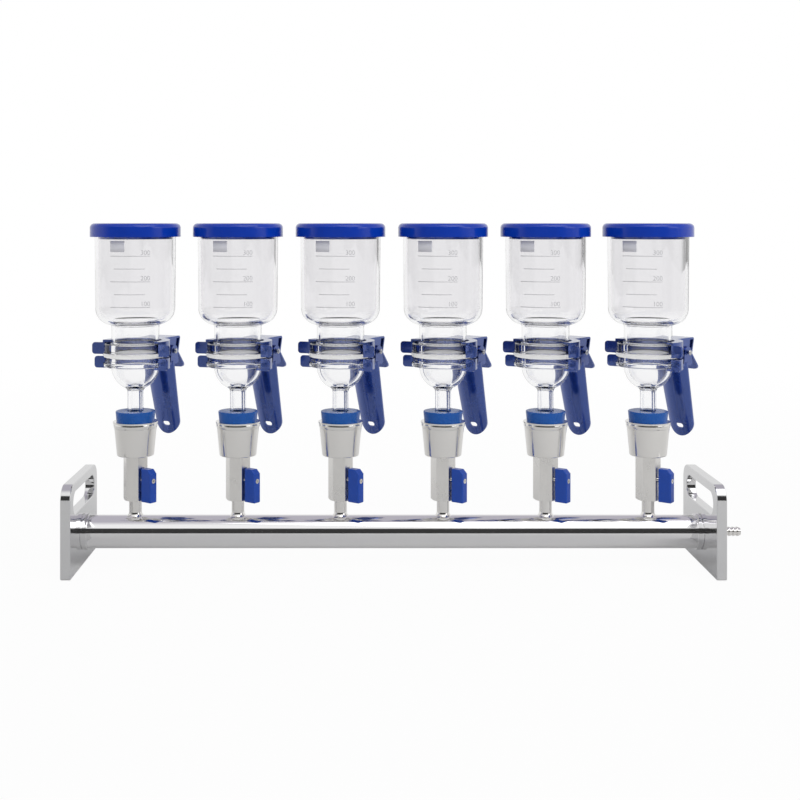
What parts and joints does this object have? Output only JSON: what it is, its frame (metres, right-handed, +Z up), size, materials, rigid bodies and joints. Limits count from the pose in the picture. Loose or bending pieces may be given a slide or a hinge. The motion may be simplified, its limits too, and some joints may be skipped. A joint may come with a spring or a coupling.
{
  "type": "vacuum filtration manifold",
  "caption": "Stainless bench manifold with a row of ball-valve branches, each holding a stoppered glass filter funnel with a blue lid and a spring clamp.",
  "frame": {"origin": "middle of the left end plate's foot, on the bench", "axes": "+X along the tube towards the hose barb, +Y away from the reader, +Z up"},
  "size_m": [0.6489, 0.1314, 0.3315],
  "materials": {
    "polished_steel": "mirror polished stainless steel",
    "blue_plastic": "glossy royal blue plastic",
    "blue_anodised": "satin navy blue anodised aluminium",
    "blue_silicone": "soft satin blue silicone",
    "glass": "clear borosilicate glass with a sintered glass disc",
    "ptfe": "plain white",
    "spring_steel": "bright spring steel"
  },
  "bodies": {
    "manifold": {"manifold_tube": "polished_steel", "end_plate_left": "polished_steel", "end_plate_right": "polished_steel", "end_caps": "polished_steel", "hose_barb": "polished_steel", "branch_nipples": "polished_steel", "valve_bodies": "polished_steel", "valve_inserts": "polished_steel", "ball_seats": "ptfe", "stopper_cups": "polished_steel", "stoppers": "blue_silicone"},
    "valve_1": {"valve_handle_1": "blue_plastic", "valve_stem_1": "polished_steel"},
    "holder_1": {"filter_base_1": "glass", "funnel_1": "glass", "clamp_lower_jaw_1": "blue_anodised", "clamp_pin_1": "spring_steel"},
    "lid_1": {"lid_1": "blue_plastic"},
    "clamp_jaw_1": {"clamp_upper_jaw_1": "blue_anodised"},
    "valve_2": {"valve_handle_2": "blue_plastic", "valve_stem_2": "polished_steel"},
    "holder_2": {"filter_base_2": "glass", "funnel_2": "glass", "clamp_lower_jaw_2": "blue_anodised", "clamp_pin_2": "spring_steel"},
    "lid_2": {"lid_2": "blue_plastic"},
    "clamp_jaw_2": {"clamp_upper_jaw_2": "blue_anodised"},
    "valve_3": {"valve_handle_3": "blue_plastic", "valve_stem_3": "polished_steel"},
    "holder_3": {"filter_base_3": "glass", "funnel_3": "glass", "clamp_lower_jaw_3": "blue_anodised", "clamp_pin_3": "spring_steel"},
    "lid_3": {"lid_3": "blue_plastic"},
    "clamp_jaw_3": {"clamp_upper_jaw_3": "blue_anodised"},
    "valve_4": {"valve_handle_4": "blue_plastic", "valve_stem_4": "polished_steel"},
    "holder_4": {"filter_base_4": "glass", "funnel_4": "glass", "clamp_lower_jaw_4": "blue_anodised", "clamp_pin_4": "spring_steel"},
    "lid_4": {"lid_4": "blue_plastic"},
    "clamp_jaw_4": {"clamp_upper_jaw_4": "blue_anodised"},
    "valve_5": {"valve_handle_5": "blue_plastic", "valve_stem_5": "polished_steel"},
    "holder_5": {"filter_base_5": "glass", "funnel_5": "glass", "clamp_lower_jaw_5": "blue_anodised", "clamp_pin_5": "spring_steel"},
    "lid_5": {"lid_5": "blue_plastic"},
    "clamp_jaw_5": {"clamp_upper_jaw_5": "blue_anodised"},
    "valve_6": {"valve_handle_6": "blue_plastic", "valve_stem_6": "polished_steel"},
    "holder_6": {"filter_base_6": "glass", "funnel_6": "glass", "clamp_lower_jaw_6": "blue_anodised", "clamp_pin_6": "spring_steel"},
    "lid_6": {"lid_6": "blue_plastic"},
    "clamp_jaw_6": {"clamp_upper_jaw_6": "blue_anodised"}
  },
  "joints": [
    {"name": "valve_turn_1", "type": "hinge", "parent": "manifold", "child": "valve_1", "pos_m": [0.05475, 0, 0.083], "axis": [-0.7986, 0.6018, 0], "range_deg": [0, 90]},
    {"name": "holder_lift_1", "type": "slide", "parent": "manifold", "child": "holder_1", "axis": [0, 0, 1], "range_m": [0, 0.06]},
    {"name": "lid_lift_1", "type": "slide", "parent": "holder_1", "child": "lid_1", "axis": [0, 0, 1], "range_m": [0, 0.08]},
    {"name": "clamp_open_1", "type": "hinge", "parent": "holder_1", "child": "clamp_jaw_1", "pos_m": [0.07336, 0.04533, 0.203], "axis": [-0.925, 0.3799, 0], "range_deg": [0, 12], "stiffness_Nm_per_rad": 0.5, "springref_deg": -34.38},
    {"name": "valve_turn_2", "type": "hinge", "parent": "manifold", "child": "valve_2", "pos_m": [0.15475, 0, 0.083], "axis": [-0.7986, 0.6018, 0], "range_deg": [0, 90]},
    {"name": "holder_lift_2", "type": "slide", "parent": "manifold", "child": "holder_2", "axis": [0, 0, 1], "range_m": [0, 0.06]},
    {"name": "lid_lift_2", "type": "slide", "parent": "holder_2", "child": "lid_2", "axis": [0, 0, 1], "range_m": [0, 0.08]},
    {"name": "clamp_open_2", "type": "hinge", "parent": "holder_2", "child": "clamp_jaw_2", "pos_m": [0.17694, 0.04369, 0.203], "axis": [-0.8915, 0.453, 0], "range_deg": [0, 12], "stiffness_Nm_per_rad": 0.5, "springref_deg": -34.38},
    {"name": "valve_turn_3", "type": "hinge", "parent": "manifold", "child": "valve_3", "pos_m": [0.25475, 0, 0.083], "axis": [-0.7986, 0.6018, 0], "range_deg": [0, 90]},
    {"name": "holder_lift_3", "type": "slide", "parent": "manifold", "child": "holder_3", "axis": [0, 0, 1], "range_m": [0, 0.06]},
    {"name": "lid_lift_3", "type": "slide", "parent": "holder_3", "child": "lid_3", "axis": [0, 0, 1], "range_m": [0, 0.08]},
    {"name": "clamp_open_3", "type": "hinge", "parent": "holder_3", "child": "clamp_jaw_3", "pos_m": [0.28045, 0.04172, 0.203], "axis": [-0.8514, 0.5245, 0], "range_deg": [0, 12], "stiffness_Nm_per_rad": 0.5, "springref_deg": -34.38},
    {"name": "valve_turn_4", "type": "hinge", "parent": "manifold", "child": "valve_4", "pos_m": [0.35475, 0, 0.083], "axis": [-0.7986, 0.6018, 0], "range_deg": [0, 90]},
    {"name": "holder_lift_4", "type": "slide", "parent": "manifold", "child": "holder_4", "axis": [0, 0, 1], "range_m": [0, 0.06]},
    {"name": "lid_lift_4", "type": "slide", "parent": "holder_4", "child": "lid_4", "axis": [0, 0, 1], "range_m": [0, 0.08]},
    {"name": "clamp_open_4", "type": "hinge", "parent": "holder_4", "child": "clamp_jaw_4", "pos_m": [0.3838, 0.03946, 0.203], "axis": [-0.8052, 0.5929, 0], "range_deg": [0, 12], "stiffness_Nm_per_rad": 0.5, "springref_deg": -34.38},
    {"name": "valve_turn_5", "type": "hinge", "parent": "manifold", "child": "valve_5", "pos_m": [0.45475, 0, 0.083], "axis": [-0.7986, 0.6018, 0], "range_deg": [0, 90]},
    {"name": "holder_lift_5", "type": "slide", "parent": "manifold", "child": "holder_5", "axis": [0, 0, 1], "range_m": [0, 0.06]},
    {"name": "lid_lift_5", "type": "slide", "parent": "holder_5", "child": "lid_5", "axis": [0, 0, 1], "range_m": [0, 0.08]},
    {"name": "clamp_open_5", "type": "hinge", "parent": "holder_5", "child": "clamp_jaw_5", "pos_m": [0.48694, 0.03694, 0.203], "axis": [-0.7539, 0.6569, 0], "range_deg": [0, 12], "stiffness_Nm_per_rad": 0.5, "springref_deg": -34.38},
    {"name": "valve_turn_6", "type": "hinge", "parent": "manifold", "child": "valve_6", "pos_m": [0.55475, 0, 0.083], "axis": [-0.7986, 0.6018, 0], "range_deg": [0, 90]},
    {"name": "holder_lift_6", "type": "slide", "parent": "manifold", "child": "holder_6", "axis": [0, 0, 1], "range_m": [0, 0.06]},
    {"name": "lid_lift_6", "type": "slide", "parent": "holder_6", "child": "lid_6", "axis": [0, 0, 1], "range_m": [0, 0.08]},
    {"name": "clamp_open_6", "type": "hinge", "parent": "holder_6", "child": "clamp_jaw_6", "pos_m": [0.5898, 0.03424, 0.203], "axis": [-0.6987, 0.7154, 0], "range_deg": [0, 12], "stiffness_Nm_per_rad": 0.5, "springref_deg": -34.38}
  ]
}
